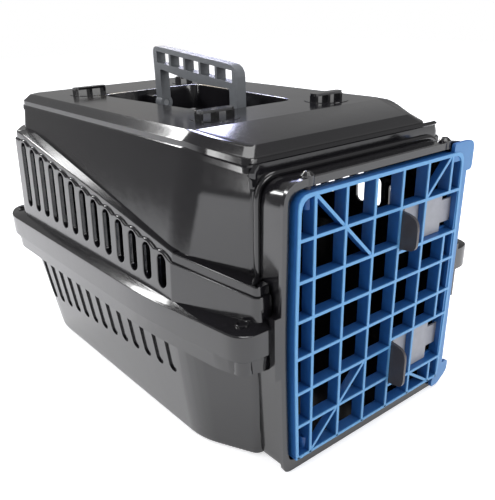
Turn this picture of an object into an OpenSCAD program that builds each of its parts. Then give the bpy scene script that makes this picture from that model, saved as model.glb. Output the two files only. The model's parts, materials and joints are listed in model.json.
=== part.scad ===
// Small pet and bird travel carrier: two moulded shells, ribbed swing door, folding handle
// Millimetres, +Z up. The door looks along -Y. The origin is on the ground under the middle.

/* [Body] */
// Width over the rim
rim_w = 272; // [240:1:320]
// Length from the door's front face to the rear of the rim
body_l = 390; // [350:1:470]
// Height of the plane where the two shells meet
part_h = 103; // [90:1:115]
// Height of the roof above the top of the door
roof_rise = 28; // [26:1:36]
// Wall thickness of both shells
wall = 2.5; // [2:0.1:3.5]
// Sideways lean of the upper walls, per millimetre of height
side_lean = 0.247; // [0.15:0.001:0.28]
// Backward lean of the rear wall, per millimetre of height
rear_lean = 0.22; // [0.1:0.01:0.26]
// Lean of the lower walls, per millimetre of height
tub_lean = 0.125; // [0.05:0.005:0.15]

/* [Rim] */
// Height of the upright skirt above the meeting plane
skirt_h = 20; // [14:1:26]
// Height of the slope from the skirt up to the wall
slope_h = 12; // [8:1:16]
// Depth of each of the two steps of the side ledge
ledge_step = 1.8; // [1:0.1:2.5]
// Height of the band under the skirt
band_h = 14; // [10:1:18]
// Depth of the tongue that the skirt hides
tongue_h = 4; // [3:0.5:6]

/* [Vents] */
// Width of a vent slot in the upper wall
slot_w = 9.5; // [6:0.5:11]
// Distance from one upper slot to the next
slot_pitch = 17.9; // [15:0.1:22]
// Width of a groove in the lower wall
groove_w = 10; // [6:0.5:12]
// Distance from one groove to the next
groove_pitch = 19; // [16:0.5:24]
// Depth of a groove
groove_depth = 1.4; // [0.8:0.1:1.6]

/* [Door] */
// Width of the door's grid
door_w = 168; // [150:1:184]
// Height of the door's grid
door_h = 195.5; // [180:0.5:210]
// Depth of the door's ribs
door_depth = 10; // [9.6:0.1:12]
// Thickness of a rib
rib_t = 2.2; // [1.6:0.1:3]
// Outward bow of the door's sides at the meeting plane
door_bow = 2.5; // [0:0.5:4]
// Height of the door's lower edge above the ground
door_lift = 11.5; // [10:0.5:14]
// Gap round the door
door_gap = 3; // [2.5:0.1:4]
// Radius of a hinge pin
door_pin_r = 2.5; // [2:0.1:3]
// Distance the door stands proud of the front frame
door_proud = 4.8; // [4:0.1:5.4]

/* [Latches] */
// Thickness of a latch plate
plate_t = 2.4; // [2:0.1:2.6]
// Travel of a latch
latch_travel = 11; // [8:0.5:11]
// Height of the tongue that enters the frame
tongue_w = 18; // [12:1:22]
// Reach of the thumb blade in front of the door
blade_reach = 13.5; // [8:0.5:16]
// Thickness of the thumb blade
blade_t = 2.4; // [2:0.1:3]
// Depth of the slot in the frame that a tongue enters
keeper_depth = 4.5; // [4.2:0.1:5]

/* [Handle] */
// Length of the handle
handle_l = 124; // [110:1:130]
// Height of the handle's top above its pivot
handle_h = 43; // [38:0.5:44]
// Thickness of the handle
handle_t = 9.5; // [8:0.5:10.5]
// Width of a handle leg
leg_w = 10; // [8:0.5:12]
// Radius of a handle pivot pin
handle_pin_r = 3; // [2.5:0.1:3.5]

/* [Roof] */
// Depth of the handle recess
recess_depth = 24; // [22:1:30]
// Width of the handle recess
recess_w = 93; // [93:1:100]
// Length of the handle recess
recess_l = 158; // [150:1:164]
// Radius of the round seat of a strap loop
seat_r = 18.5; // [16.5:0.5:20]
// Depth of that seat
seat_depth = 1.2; // [0.8:0.1:2]
// Height of the gap under a strap loop's bar
loop_gap = 4.6; // [4.4:0.1:6]

/* [Rim screws] */
// Radius of a screw shank
screw_r = 2; // [1.5:0.1:2.5]
// Radius of a screw head
screw_head_r = 4; // [3.5:0.1:4.5]
// Width of a nut across its flats
nut_w = 7; // [6:0.1:8]

/* [Hidden] */

$fn = 32;

// Colours of the plastics
black_plastic = "#37353a";
blue_plastic = "#2f6fb4";
grey_plastic = "#74777b";
light_plastic = "#a3a4aa";
dark_plastic = "#2a2524";
steel = "#8d9094";

// Clearances
slide_gap = 0.4;
pin_fit = 0.05;
step_gap = 1;
eps = 0.01;

// Shift that brings the middle of the length to Y = 0
y_mid = (body_l - blade_reach) / 2;

// Heights of the door, the neck and the roof
door_top = door_lift + door_h;
roof_h = door_top + roof_rise;
crease_z = part_h + skirt_h + slope_h;
bead_z = roof_h - 9;

// Plan of the body
neck_half = door_w / 2 + door_gap;
front_y = 31;
front_half = neck_half + wall + 4;
cheek_y = 80;
rear_cut = 36;
rear_cut_w = 22;
roof_front_y = 78;
roof_chamfer = 7;
brow_y = 38;
belt_out = 2 * ledge_step;

// Plan of the rim
rim_front_y = 8;
rim_front_half = front_half + 31;
rim_side_y = 110;
rim_rear_cut = 26;
rim_rear_cut_w = 14;

// Height of the side ledge, from front to rear
ledge_front = crease_z + 17;
ledge_rear = bead_z - 22;
ledge_start_y = cheek_y + 2;
ledge_end_y = body_l - 60;

// Grid of the door
col_pitch = door_w / 6;
row_pitch = (door_h - rib_t) / 7;
rail_t = rib_t + 0.2;
hinge_x = -(door_w / 2 - 14.5);
hinge_y = 8.5;
barrel_r = door_pin_r + 2;
barrel_l = 12;
pin_out = 9;

// Latches
plate_y = 5.6;
tongue_t = 1.6;
bar_front_depth = plate_y - slide_gap;
plate_left = col_pitch / 2 + rib_t / 2 + 0.5;
plate_right = door_w / 2 - rail_t - latch_travel - 0.6;
tongue_end = door_w / 2 - 1;
lip_h = 3;
blade_inset = 1;

// Handle and its recess
pivot_z = roof_h - 10;
recess_y = 139;
recess_floor = roof_h - recess_depth;
recess_corner = 14;
recess_draft = 2;
handle_y = recess_y + (recess_l - handle_l) / 2;
pivot_boss_w = 16;
boss_l = (recess_l - handle_l) / 2 - step_gap;
grip_t = 5.5;
window_gap = 3;
window_count = 5;
window_h = 12;

// Strap loops
loop_x = 57;
loop_front_y = 116;
loop_rear_y = body_l - 76;
loop_bar_l = 32;
loop_bar_w = 8;
loop_bar_t = 2;
loop_post_t = 2.6;
loop_base_t = 1.2;

// Rim screws, as distances from the middle and from the front
screw_spots = [
    [rim_front_half - 12.5, rim_front_y + 14],
    [rim_w / 2 - 15, body_l - 21]
];
post_r = screw_head_r + 3;
head_seat_z = part_h + 9;
head_h = 3;
nut_h = 3.2;

// Number of steps in each rounded corner
corner_steps = 4;

// Plan geometry
function unit(v) = v / norm(v);

// One rounded corner at b between a and c, starting t before it
function corner(a, b, c, t) =
    let (
        u = a - b,
        v = c - b,
        k = min(t, norm(u) * 0.45, norm(v) * 0.45),
        p = b + unit(u) * k,
        q = b + unit(v) * k
    )
    [for (i = [0 : corner_steps])
        let (s = i / corner_steps)
        (1 - s) * (1 - s) * p + 2 * s * (1 - s) * b + s * s * q];

// A closed outline with every corner rounded
function rounded(p, t) =
    [for (i = [0 : len(p) - 1])
        each corner(p[(i + len(p) - 1) % len(p)], p[i], p[(i + 1) % len(p)], t[i])];

// The right half of an outline, completed to the left
function both_sides(h) =
    concat(h, [for (i = [len(h) - 1 : -1 : 0]) [-h[i][0], h[i][1]]]);

function twice(t) = concat(t, [for (i = [len(t) - 1 : -1 : 0]) t[i]]);

function at_height(outline, z) = [for (p = outline) [p[0], p[1], z]];

// Half width and rear end of the upper wall at a height
function wall_half(z) = rim_w / 2 - 9 - (z - crease_z) * side_lean;
function wall_rear(z) = body_l - 10 - (z - crease_z) * rear_lean;

// Plan outline of a body: front face, cheek, side and cut rear corner
function body_outline(half, rear, f_half, f_y, c_y, g) =
    rounded(
        both_sides([
            [f_half + g, f_y - g],
            [half + g, c_y],
            [half + g, rear - rear_cut],
            [half - rear_cut_w + g, rear + g]
        ]),
        twice([5, 14, 16, 14]));

// Outline of the upper wall at height z, grown by g
function upper_outline(z, g) =
    body_outline(wall_half(z), wall_rear(z), front_half, front_y, cheek_y, g);

// Outline of the lower wall at height z, grown by g
function lower_outline(z, g) =
    let (drop = (part_h - z) * tub_lean)
    body_outline(rim_w / 2 - 9 - drop, body_l - 8 - drop, front_half, front_y, cheek_y - 5, g);

// Outline of the rim, grown by g
function rim_outline(g) =
    rounded(
        both_sides([
            [rim_front_half + g, rim_front_y - g],
            [rim_w / 2 + g, rim_side_y],
            [rim_w / 2 + g, body_l - rim_rear_cut],
            [rim_w / 2 - rim_rear_cut_w + g, body_l + g]
        ]),
        twice([26, 30, 12, 12]));

// Height of the ledge at distance y from the front
function ledge_at(y) =
    y < ledge_start_y
        ? ledge_front
        : ledge_front + 8
            + (ledge_rear - ledge_front - 8) * (y - ledge_start_y) / (ledge_end_y - ledge_start_y);

// Solid between rings that have the same number of points
module loft(rings) {
    n = len(rings[0]);
    last = (len(rings) - 1) * n;
    sides = [
        for (k = [0 : len(rings) - 2], i = [0 : n - 1])
            let (
                j = (i + 1) % n,
                a = k * n + i,
                b = k * n + j
            )
            each [[a, a + n, b + n], [a, b + n, b]]
    ];
    polyhedron(
        points = [for (r = rings) each r],
        faces = concat(
            [[for (i = [0 : n - 1]) i]],
            sides,
            [[for (i = [n - 1 : -1 : 0]) last + i]]));
}

// A front view drawing made solid from y0 back to y1
module from_front(y0, y1) {
    translate([0, y1, 0]) rotate([90, 0, 0]) linear_extrude(y1 - y0) children();
}

// A side view drawing made solid from x0 to x1
module from_side(x0, x1) {
    translate([x0, 0, 0]) rotate([90, 0, 90]) linear_extrude(x1 - x0) children();
}

// Everything is drawn from the door's front face and then centred
module placed() {
    translate([0, -y_mid, 0]) children();
}

module mirrored_x() {
    children();
    mirror([1, 0, 0]) children();
}

// Front view of the doorway or the door, grown by g
module doorway(half, top, bottom, g, blend) {
    polygon(rounded(
        [
            [half + g, bottom],
            [half + door_bow + g, part_h],
            [half + g, top + g],
            [-half - g, top + g],
            [-half - door_bow - g, part_h],
            [-half - g, bottom]
        ],
        [blend / 2, 30, blend, blend, 30, blend / 2]));
}

module above_part() {
    intersection() {
        children();
        translate([-rim_w, part_h]) square([2 * rim_w, roof_h]);
    }
}

module below_part() {
    intersection() {
        children();
        translate([-rim_w, 0]) square([2 * rim_w, part_h]);
    }
}

module neck_mouth() {
    doorway(neck_half, door_top + door_gap - 0.5, door_lift - door_gap + 0.5, 0, 13);
}

module neck_outside(g) {
    doorway(neck_half, door_top + door_gap - 0.5, 0, g, 16);
}

// Slot with round ends, upright in a side view
module slot_shape(y, low, high, w) {
    translate([y - w / 2, low + w / 2]) square([w, high - low - w]);
    translate([y, low + w / 2]) circle(w / 2);
    translate([y, high - w / 2]) circle(w / 2);
}

// Upper shell: body with its roof
module upper_body_outside() {
    f = front_half;
    loft([
        at_height(upper_outline(part_h, 0), part_h),
        at_height(upper_outline(roof_h - 19, 0), roof_h - 19),
        at_height(body_outline(wall_half(roof_h - 14), wall_rear(roof_h - 14), f - 1.5, front_y + 0.5,
            cheek_y, 0), roof_h - 14),
        at_height(body_outline(wall_half(roof_h - 13), wall_rear(roof_h - 13), f - 1.5, front_y + 1,
            cheek_y, 1.3), roof_h - 13),
        at_height(body_outline(wall_half(roof_h - 11), wall_rear(roof_h - 11), f - 3, front_y + 2.5,
            cheek_y, 1.1), roof_h - 11),
        at_height(body_outline(wall_half(roof_h - 10), wall_rear(roof_h - 10), f - 5, front_y + 4,
            cheek_y, -0.3), roof_h - 10),
        at_height(body_outline(wall_half(bead_z), wall_rear(bead_z), f - 6.5, brow_y - 1.5,
            cheek_y, -0.4), bead_z),
        at_height(body_outline(wall_half(bead_z) - 1.5, wall_rear(bead_z) - 1.5, f - 8, brow_y,
            cheek_y - 2, 0), roof_h - 7),
        at_height(body_outline(wall_half(bead_z) - roof_chamfer, wall_rear(bead_z) - roof_chamfer,
            f + 1, roof_front_y, roof_front_y + 6, 0), roof_h)
    ]);
}

module upper_body_inside() {
    f = front_half;
    loft([
        at_height(upper_outline(part_h - 1, -wall), part_h - 1),
        at_height(upper_outline(roof_h - 19, -wall), roof_h - 19 - wall / 2),
        at_height(body_outline(wall_half(bead_z), wall_rear(bead_z), f - 6.5, brow_y, cheek_y,
            -wall - 0.4), bead_z - wall),
        at_height(body_outline(wall_half(bead_z) - roof_chamfer, wall_rear(bead_z) - roof_chamfer,
            f + 1, roof_front_y, roof_front_y + 6, -wall), roof_h - wall)
    ]);
}

// One of the two steps of the side ledge: the wall grown and cut along a falling line
module ledge_layer(g, drop) {
    intersection() {
        loft([
            at_height(upper_outline(crease_z - 4, g), crease_z - 4),
            at_height(upper_outline(bead_z - 4, g), bead_z - 4)
        ]);
        from_side(-rim_w, rim_w) polygon([
            [-20, part_h],
            [-20, ledge_front - drop - 1],
            [front_y + 6, ledge_front - drop],
            [cheek_y - 18, ledge_front + 3 - drop],
            [ledge_start_y, ledge_at(ledge_start_y) - drop],
            [ledge_end_y, ledge_rear - drop],
            [ledge_end_y + 16, ledge_rear + 1.5 - drop],
            [body_l + 20, ledge_rear + 1.5 - drop],
            [body_l + 20, part_h]
        ]);
    }
}

module upper_rim(g, low) {
    loft([
        at_height(rim_outline(g), low),
        at_height(rim_outline(g), part_h + skirt_h - 2 + g / 2),
        at_height(rim_outline(g - 1.2), part_h + skirt_h + g / 2),
        at_height(upper_outline(crease_z, belt_out + 0.4 + g), crease_z + g)
    ]);
}

module recess_form(g, low, high) {
    function plan(d) =
        rounded(
            both_sides([[recess_w / 2 + d, recess_y - d], [recess_w / 2 + d, recess_y + recess_l + d]]),
            twice([recess_corner + d, recess_corner + d]));
    loft([
        at_height(plan(g - recess_draft), low),
        at_height(plan(g), high)
    ]);
}

module at_screws() {
    for (s = screw_spots) {
        mirrored_x() translate([s[0], s[1], 0]) children();
    }
}

module at_loops() {
    for (y = [loop_front_y, loop_rear_y]) {
        mirrored_x() translate([loop_x, y, 0]) children();
    }
}

module upper_vents() {
    count = floor((ledge_end_y - cheek_y - 12) / slot_pitch) + 1;
    for (i = [0 : count - 1]) {
        y = cheek_y + 4.5 + i * slot_pitch;
        from_side(-rim_w, rim_w) slot_shape(y, crease_z + 2, ledge_at(y) - 3, slot_w);
    }
}

// Opening in the frame for one latch tongue
module keeper(z) {
    translate([neck_half - 1, plate_y + plate_t - tongue_t - 0.3, z - tongue_w / 2 - 0.6])
        cube([door_bow + 12, keeper_depth, tongue_w + 1.2]);
}

module upper_shell() {
    color(black_plastic) placed() difference() {
        union() {
            difference() {
                union() {
                    upper_body_outside();
                    ledge_layer(ledge_step, 0);
                    ledge_layer(belt_out, 4);
                    upper_rim(0, part_h);
                }
                upper_body_inside();
                upper_rim(-wall, part_h - 1);
            }
            from_front(door_proud, front_y + wall) above_part() neck_outside(wall);
            from_front(door_proud, door_proud + 3) above_part() neck_outside(wall * 2);
            mirrored_x() translate([neck_half, door_proud, part_h]) cube([12.5, 5, 26]);
            intersection() {
                recess_form(wall, recess_floor - wall, roof_h - 0.5);
                upper_body_outside();
            }
            at_loops() translate([0, 0, roof_h - seat_depth - wall])
                cylinder(h = seat_depth + wall - 0.5, r = seat_r + wall);
            intersection() {
                at_screws() translate([0, 0, part_h]) cylinder(h = skirt_h + slope_h, r = post_r);
                upper_rim(-0.5, part_h);
            }
            mirrored_x() translate([hinge_x, hinge_y, door_top + door_gap - 0.5])
                cylinder(h = pin_out + 1, r = door_pin_r + 1.9);
        }
        from_front(-1, front_y + wall + 12) above_part_mouth();
        upper_vents();
        difference() {
            recess_form(0, recess_floor, roof_h + 1);
            pivot_bosses();
        }
        at_loops() translate([0, 0, roof_h - seat_depth]) cylinder(h = seat_depth + 1, r = seat_r);
        at_screws() {
            translate([0, 0, head_seat_z]) cylinder(h = roof_h, r = screw_head_r + 0.4);
            translate([0, 0, part_h - 1]) cylinder(h = 20, r = screw_r + 0.3);
        }
        mirrored_x() translate([hinge_x, hinge_y, door_top]) cylinder(h = roof_rise, r = door_pin_r + pin_fit);
        keeper(latch_z(0));
        pivot_bores();
    }
}

// The doorway's mouth, cut a little past the meeting plane
module above_part_mouth() {
    intersection() {
        neck_mouth();
        translate([-rim_w, part_h - 1]) square([2 * rim_w, roof_h]);
    }
}

// Blocks left standing at the ends of the recess to carry the handle's pins
module pivot_bosses() {
    for (y = [recess_y - wall, recess_y + recess_l - boss_l]) {
        translate([-pivot_boss_w / 2, y, recess_floor - wall])
            cube([pivot_boss_w, boss_l + wall, pivot_z - recess_floor + wall + 6]);
    }
}

// Blind bores in those blocks
module pivot_bores() {
    for (y = [recess_y + 1, recess_y + recess_l - boss_l - 1]) {
        translate([0, y, pivot_z]) rotate([-90, 0, 0]) cylinder(h = boss_l, r = handle_pin_r + 0.01);
    }
}

// Middle height of a latch: 0 is the upper one, 1 the lower one
function row_z(j) = door_top - rib_t / 2 - j * row_pitch;
function window_low(i) = i == 0 ? row_z(2) - 5.6 : row_z(6) - 8.2;
function window_high(i) = i == 0 ? row_z(1) : row_z(5) + 5.8;
function latch_z(i) = (window_low(i) + window_high(i)) / 2;

// Lower shell: tub, band under the rim, tongue and threshold
module tub_outside() {
    loft([
        at_height(lower_outline(0, -4), 0),
        at_height(lower_outline(3, -0.5), 3),
        at_height(lower_outline(6, 0), 6),
        at_height(lower_outline(part_h, 0), part_h)
    ]);
}

module tub_inside() {
    loft([
        at_height(lower_outline(wall, -wall - 3), wall),
        at_height(lower_outline(wall + 6, -wall), wall + 6),
        at_height(lower_outline(part_h, -wall), part_h + 1)
    ]);
}

module band_under_rim() {
    band_in = wall + 0.5;
    difference() {
        loft([
            at_height(rim_outline(-band_in - 1), part_h - band_h),
            at_height(rim_outline(-band_in), part_h)
        ]);
        loft([
            at_height(rim_outline(-band_in - wall - 1), part_h - band_h - 1),
            at_height(rim_outline(-band_in - wall), part_h - wall)
        ]);
    }
}

module rim_tongue() {
    difference() {
        loft([
            at_height(rim_outline(-wall - slide_gap), part_h - 1),
            at_height(rim_outline(-wall - slide_gap), part_h + tongue_h)
        ]);
        loft([
            at_height(rim_outline(-wall - slide_gap - 2), part_h - 2),
            at_height(rim_outline(-wall - slide_gap - 2), part_h + tongue_h + 1)
        ]);
        translate([-front_half - 1, -1, part_h - 3]) cube([2 * front_half + 2, front_y + 10, 20]);
        at_screws() translate([0, 0, part_h]) cylinder(h = 30, r = post_r + 0.5);
    }
}

// Grooves pressed into the side walls, longer towards the rear
module lower_grooves() {
    count = floor((body_l - rear_cut - cheek_y - 44) / groove_pitch) + 1;
    for (i = [0 : count - 1]) {
        y = cheek_y + 16 + i * groove_pitch;
        low = part_h - band_h - 30 - (y - cheek_y) * 0.085;
        from_side(-rim_w, rim_w) slot_shape(y, low, part_h + 10, groove_w);
    }
}

module nut_prism(w, h) {
    cylinder(h = h, r = w / sqrt(3), $fn = 6);
}

module lower_shell() {
    color(black_plastic) placed() difference() {
        union() {
            difference() {
                union() {
                    difference() {
                        tub_outside();
                        difference() {
                            intersection() {
                                lower_grooves();
                                translate([-rim_w, 0, 0]) cube([2 * rim_w, body_l, part_h - band_h - 0.5]);
                            }
                            loft([
                                at_height(lower_outline(0, -groove_depth), -1),
                                at_height(lower_outline(part_h, -groove_depth), part_h + 1)
                            ]);
                        }
                    }
                    band_under_rim();
                }
                tub_inside();
            }
            rim_tongue();
            from_front(door_proud, front_y + wall) below_part() neck_outside(wall);
            from_front(door_proud, door_proud + 3) below_part() neck_outside(wall * 2);
            mirrored_x() translate([neck_half, door_proud, part_h - 20]) cube([12.5, 5, 20]);
            at_screws() translate([0, 0, part_h - band_h]) cylinder(h = band_h, r = post_r);
        }
        from_front(-1, front_y + wall + 12) intersection() {
            neck_mouth();
            translate([-rim_w, 0]) square([2 * rim_w, part_h + 1]);
        }
        at_screws() {
            translate([0, 0, part_h - band_h - 1]) cylinder(h = band_h + 2, r = screw_r + 0.3);
            translate([0, 0, part_h - band_h - 1]) nut_prism(nut_w + 0.4, nut_h + 1.4);
        }
        mirrored_x() translate([hinge_x, hinge_y, door_lift - pin_out + 2])
            cylinder(h = pin_out + 1, r = door_pin_r + pin_fit);
        keeper(latch_z(1));
    }
}

// Door
module door_outline(g) {
    doorway(door_w / 2, door_top, door_lift, g, 9);
}

module rail_ring() {
    difference() {
        door_outline(0);
        door_outline(-rail_t);
    }
}

// Thin strip in the front view from point a to point b
module strip(a, b, t) {
    d = b - a;
    translate(a) rotate(atan2(d[1], d[0])) translate([0, -t / 2]) square([norm(d), t]);
}

module latch_window(i) {
    translate([col_pitch / 2, window_low(i)])
        square([door_w / 2 - col_pitch / 2 + door_bow, window_high(i) - window_low(i)]);
}

module grid_bars() {
    for (i = [-2.5 : 1 : 2.5]) {
        translate([i * col_pitch - rib_t / 2, door_lift]) square([rib_t, door_h]);
    }
    for (j = [1 : 6]) {
        translate([-door_w / 2, row_z(j) - rib_t / 2]) square([door_w, rib_t]);
    }
}

// Full-depth drawing: rail, bars outside the latch windows, and the edges of those windows
module deep_grid() {
    rail_ring();
    intersection() {
        door_outline(-1);
        union() {
            difference() {
                grid_bars();
                latch_window(0);
                latch_window(1);
            }
            for (i = [0, 1]) {
                for (z = [window_low(i), window_high(i)]) {
                    translate([col_pitch / 2, z - rib_t / 2])
                        square([door_w / 2 - col_pitch / 2, rib_t]);
                }
                translate([col_pitch / 2 - rib_t / 2, window_low(i)])
                    square([rib_t, window_high(i) - window_low(i)]);
            }
        }
    }
}

module diagonal_ribs() {
    left = -2.5 * col_pitch;
    mid = -0.5 * col_pitch;
    strip([left, row_z(0)], [mid, row_z(2)], rib_t);
    strip([1.5 * col_pitch, row_z(1)], [2.5 * col_pitch, row_z(0)], rib_t);
    strip([left, row_z(7)], [mid, row_z(5)], rib_t);
    strip([1.5 * col_pitch, window_low(1)], [2.5 * col_pitch, row_z(7)], rib_t);
}

// The one upright that crosses in front of the latch plates
module plate_bar() {
    for (i = [0, 1]) {
        translate([1.5 * col_pitch - rib_t / 2, window_low(i)])
            square([rib_t, window_high(i) - window_low(i)]);
    }
}

// Rounded plate at the top of the closing flange
module upper_ear() {
    r = door_w / 2;
    top = door_top + 6.5;
    polygon(rounded(
        [[r - 12, top], [r - 12, top - 13.5], [r + 4.5, top - 13.5], [r + 4.5, top - 22.5],
            [r + 13, top - 22.5], [r + 13, top]],
        [3, 1, 1, 2, 7, 7]));
}

// Hooked plate at the foot of the closing flange
module lower_ear() {
    r = door_w / 2;
    low = 2;
    polygon(rounded(
        [[r + 2, low + 20], [r + 15, low + 20], [r + 15, low + 9], [r + 2, low], [r - 6, low],
            [r - 6, low + 8], [r + 2, low + 13]],
        [1, 3, 9, 3, 2, 3, 3]));
}

module hinge_barrels() {
    translate([hinge_x, hinge_y, door_top - barrel_l]) cylinder(h = barrel_l, r = barrel_r);
    translate([hinge_x, hinge_y, door_lift]) cylinder(h = barrel_l, r = barrel_r);
}

module pin_sockets() {
    translate([hinge_x, hinge_y, door_top - barrel_l + 2]) cylinder(h = barrel_l, r = door_pin_r + 0.01);
    translate([hinge_x, hinge_y, door_lift - 2]) cylinder(h = barrel_l, r = door_pin_r + 0.01);
}

// Lips behind the windows that hold the latch plates
module latch_lips() {
    y0 = plate_y + plate_t + slide_gap;
    for (i = [0, 1]) {
        for (z = [window_low(i), window_high(i) - lip_h]) {
            translate([col_pitch / 2, y0, z])
                cube([door_w / 2 - col_pitch / 2 - rail_t / 2, door_depth - y0, lip_h]);
        }
    }
}

module door_grid() {
    color(blue_plastic) placed() difference() {
        union() {
            from_front(0, door_depth) deep_grid();
            from_front(0.4, 6.4) intersection() {
                door_outline(-1);
                diagonal_ribs();
            }
            from_front(0, bar_front_depth) plate_bar();
            translate([door_w / 2 - 2.5, 0.8, door_lift + 5]) cube([9, 3, door_h - 10]);
            from_front(0.8, 3.8) upper_ear();
            from_front(0.8, 3.8) lower_ear();
            latch_lips();
            hinge_barrels();
        }
        pin_sockets();
        for (i = [0, 1]) {
            translate([door_w / 2 - rail_t - 1, plate_y + plate_t - tongue_t - 0.3,
                latch_z(i) - tongue_w / 2 - 0.6])
                cube([rail_t + door_bow + 2, tongue_t + 0.6, tongue_w + 1.2]);
        }
    }
}

module door_pin_upper() {
    color(dark_plastic) placed() translate([hinge_x, hinge_y, door_top - barrel_l + 2])
        cylinder(h = barrel_l - 2 + pin_out, r = door_pin_r);
}

module door_pin_lower() {
    color(dark_plastic) placed() translate([hinge_x, hinge_y, door_lift - pin_out + 2.5])
        cylinder(h = barrel_l - 2 + pin_out - 2.5, r = door_pin_r);
}

// Latch plate with its tongue
module latch_plate(i) {
    low = window_low(i) + rib_t / 2 + slide_gap;
    high = window_high(i) - rib_t / 2 - slide_gap;
    color(light_plastic) placed() {
        translate([plate_left, plate_y, low]) cube([plate_right - plate_left, plate_t, high - low]);
        translate([plate_right - eps, plate_y + plate_t - tongue_t, latch_z(i) - tongue_w / 2])
            cube([tongue_end - plate_right + eps, tongue_t, tongue_w]);
    }
}

module latch_plate_upper() {
    latch_plate(0);
}

module latch_plate_lower() {
    latch_plate(1);
}

// Thumb blade on a foot that seats on the latch plate
module latch_tab(i) {
    foot_t = 2;
    low = window_low(i) + rib_t / 2 + blade_inset;
    high = window_high(i) - rib_t / 2 - blade_inset;
    color(dark_plastic) placed() {
        from_side(plate_left, plate_left + blade_t) polygon(rounded(
            [[plate_y, low], [plate_y, high], [-blade_reach, high - 3], [-blade_reach, low + 1.5]],
            [0.5, 0.5, 9, 6]));
        translate([plate_left, plate_y - foot_t, low]) cube([7, foot_t, high - low]);
    }
}

module latch_tab_upper() {
    latch_tab(0);
}

module latch_tab_lower() {
    latch_tab(1);
}

// Handle: side view outline, row of windows, arched grip
module handle_face() {
    top = pivot_z + handle_h;
    front = handle_y;
    rear = handle_y + handle_l;
    grip_low = top - grip_t - window_h - grip_t;
    window_l = (handle_l - 2 * leg_w + 8 - (window_count - 1) * window_gap) / window_count;
    difference() {
        polygon(rounded(
            [[front, pivot_z], [rear, pivot_z], [rear, top], [front, top]],
            [1, 1, 8, 12]));
        polygon(rounded(
            [[front + leg_w, pivot_z - 8], [rear - leg_w, pivot_z - 8], [rear - leg_w, grip_low - 1],
                [handle_y + handle_l / 2, grip_low - 5], [front + leg_w, grip_low - 1]],
            [1, 1, 3, 60, 3]));
        for (i = [0 : window_count - 1]) {
            translate([front + leg_w - 4 + i * (window_l + window_gap), grip_low + grip_t])
                square([window_l, window_h]);
        }
    }
}

module handle() {
    color(grey_plastic) placed() difference() {
        union() {
            from_side(-handle_t / 2, handle_t / 2) handle_face();
            for (y = [handle_y, handle_y + handle_l - leg_w]) {
                translate([0, y, pivot_z]) rotate([-90, 0, 0]) cylinder(h = leg_w, r = leg_w * 0.65);
            }
        }
        for (y = [handle_y, handle_y + handle_l - leg_w]) {
            translate([0, y - 1, pivot_z]) rotate([-90, 0, 0])
                cylinder(h = leg_w + 2, r = handle_pin_r + pin_fit);
        }
    }
}

module handle_pin(y) {
    color(steel) placed() translate([0, y, pivot_z]) rotate([-90, 0, 0])
        cylinder(h = leg_w + (recess_l - handle_l) / 2 - 2, r = handle_pin_r);
}

module handle_pin_front() {
    handle_pin(recess_y + 1);
}

module handle_pin_rear() {
    handle_pin(handle_y + handle_l - leg_w + 1);
}

// Screws with a cross slot stand in the rim from above, nuts sit below
module rim_screws() {
    color(steel) placed() at_screws() difference() {
        union() {
            translate([0, 0, head_seat_z]) cylinder(h = head_h, r = screw_head_r);
            translate([0, 0, part_h - band_h + 0.5])
                cylinder(h = band_h + head_seat_z - part_h, r = screw_r);
        }
        for (a = [0, 90]) {
            rotate(a) translate([-screw_head_r * 0.6, -0.5, head_seat_z + head_h - 1.2])
                cube([screw_head_r * 1.2, 1, 2]);
        }
    }
}

module rim_nuts() {
    color(steel) placed() at_screws() translate([0, 0, part_h - band_h + 0.4 - 0.2]) difference() {
        nut_prism(nut_w, nut_h);
        translate([0, 0, -1]) cylinder(h = nut_h + 2, r = screw_r + 0.01);
    }
}

// Strap loop: a bar on three posts in a round seat
module strap_loop(x, y) {
    bar_z = seat_depth + loop_gap;
    color(black_plastic) placed() translate([x, y, roof_h - seat_depth]) {
        cylinder(h = loop_base_t, r = seat_r - 0.3);
        for (p = [-1, 0, 1]) {
            translate([p * (loop_bar_l / 2 - 2) - loop_post_t / 2, -loop_bar_w / 2 + 0.5, loop_base_t - 0.2])
                cube([loop_post_t, loop_bar_w - 1, bar_z - loop_base_t + 0.7]);
        }
        translate([0, 0, bar_z]) linear_extrude(loop_bar_t) polygon(rounded(
            [[-loop_bar_l / 2, -loop_bar_w / 2], [loop_bar_l / 2, -loop_bar_w / 2],
                [loop_bar_l / 2, loop_bar_w / 2], [-loop_bar_l / 2, loop_bar_w / 2]],
            [4, 4, 4, 4]));
    }
}

module strap_loop_front_left() {
    strap_loop(-loop_x, loop_front_y);
}

module strap_loop_front_right() {
    strap_loop(loop_x, loop_front_y);
}

module strap_loop_rear_left() {
    strap_loop(-loop_x, loop_rear_y);
}

module strap_loop_rear_right() {
    strap_loop(loop_x, loop_rear_y);
}

lower_shell();
upper_shell();
door_grid();
door_pin_upper();
door_pin_lower();
latch_plate_upper();
latch_plate_lower();
latch_tab_upper();
latch_tab_lower();
handle();
handle_pin_front();
handle_pin_rear();
rim_screws();
rim_nuts();
strap_loop_front_left();
strap_loop_front_right();
strap_loop_rear_left();
strap_loop_rear_right();
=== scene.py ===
# %% [markdown]
# # A small travel carrier
# The carrier is two glossy moulded shells, a blue ribbed door with two latches, a grey folding
# handle and four loops for a strap. Its construction comes in as a fixed frame with joints, which
# is the part that has to fit and move. This lesson gives each piece the soft edges, the small
# parts and the finish that the real one has, and never moves what the frame holds.

# %% Load the frame
import json
import math

import bmesh
import bpy
import numpy as np
from mathutils import Matrix, Vector


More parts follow.
